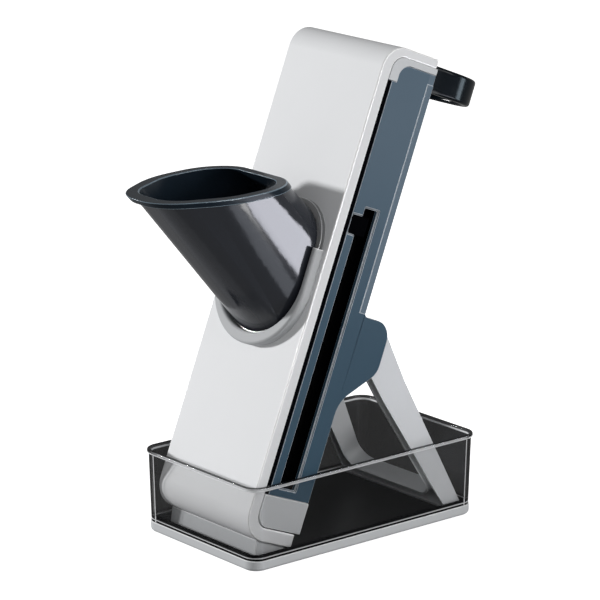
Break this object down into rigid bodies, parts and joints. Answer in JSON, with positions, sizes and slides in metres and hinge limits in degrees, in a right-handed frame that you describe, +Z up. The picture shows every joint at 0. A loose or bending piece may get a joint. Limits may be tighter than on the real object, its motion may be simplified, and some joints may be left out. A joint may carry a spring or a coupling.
{
  "type": "mandoline slicer",
  "caption": "Upright push-down vegetable slicer leaning on a folding stand in a clear catch tray, with a slanted feed chute and a rear push handle.",
  "frame": {"origin": "middle of the tray's underside, on the floor", "axes": "+Z up; -Y towards the feed chute, +Y towards the stand and the handle; +X to the right seen from the chute's side"},
  "size_m": [0.1338, 0.3023, 0.3634],
  "materials": {
    "white_plastic": "satin white moulding",
    "grey_plastic": "matt light grey moulding",
    "slate_plastic": "satin slate grey moulding",
    "black_plastic": "satin black moulding",
    "navy_gloss": "gloss dark navy moulding",
    "smoky_gloss": "gloss smoky translucent moulding",
    "smoky_clear": "clear smoky moulding",
    "steel": "bright steel"
  },
  "bodies": {
    "tray": {"tray_base": "grey_plastic", "tray_bin": "smoky_clear"},
    "frame": {"front_shell": "white_plastic", "chute_collar": "grey_plastic", "top_end_block": "grey_plastic", "bottom_end_block": "grey_plastic", "front_foot": "grey_plastic", "rear_crossbar": "slate_plastic", "crossbar_screws": "steel", "right_side_frame": "slate_plastic", "left_side_frame": "slate_plastic", "right_hinge_pin": "steel", "left_hinge_pin": "steel", "right_guide_strip": "black_plastic", "left_guide_strip": "black_plastic", "right_guide_rod": "steel", "left_guide_rod": "steel", "right_spring_cover": "black_plastic", "left_spring_cover": "black_plastic", "right_return_spring": "steel", "left_return_spring": "steel"},
    "carriage": {"carriage_plate": "slate_plastic", "slicing_blade": "steel", "blade_rivets": "steel", "press_handle": "navy_gloss", "handle_screws": "steel", "right_guide_bush": "black_plastic", "left_guide_bush": "black_plastic"},
    "chute": {"chute_tube": "smoky_gloss", "chute_liner": "navy_gloss", "chute_flange": "smoky_clear"},
    "stand": {"stand_frame": "grey_plastic"}
  },
  "joints": [
    {"name": "slicer_lift", "type": "slide", "parent": "tray", "child": "frame", "axis": [0, 0, 1], "range_m": [0, 0.15]},
    {"name": "carriage_press", "type": "slide", "parent": "frame", "child": "carriage", "axis": [0, -0.3704, -0.9289], "range_m": [0, 0.108], "stiffness_N_per_m": 60, "springref_m": -0.05, "deforming": ["right_return_spring", "left_return_spring"]},
    {"name": "chute_lift", "type": "slide", "parent": "frame", "child": "chute", "axis": [0, 0.3704, 0.9289], "range_m": [0, 0.1]},
    {"name": "stand_fold", "type": "hinge", "parent": "frame", "child": "stand", "pos_m": [0, 0.01718, 0.14833], "axis": [-1, 0, 0], "range_deg": [0, 49]}
  ],
  "couplings": [
    {"joint": "stand_fold", "follows": "slicer_lift", "rad_per_m": 5.7}
  ]
}
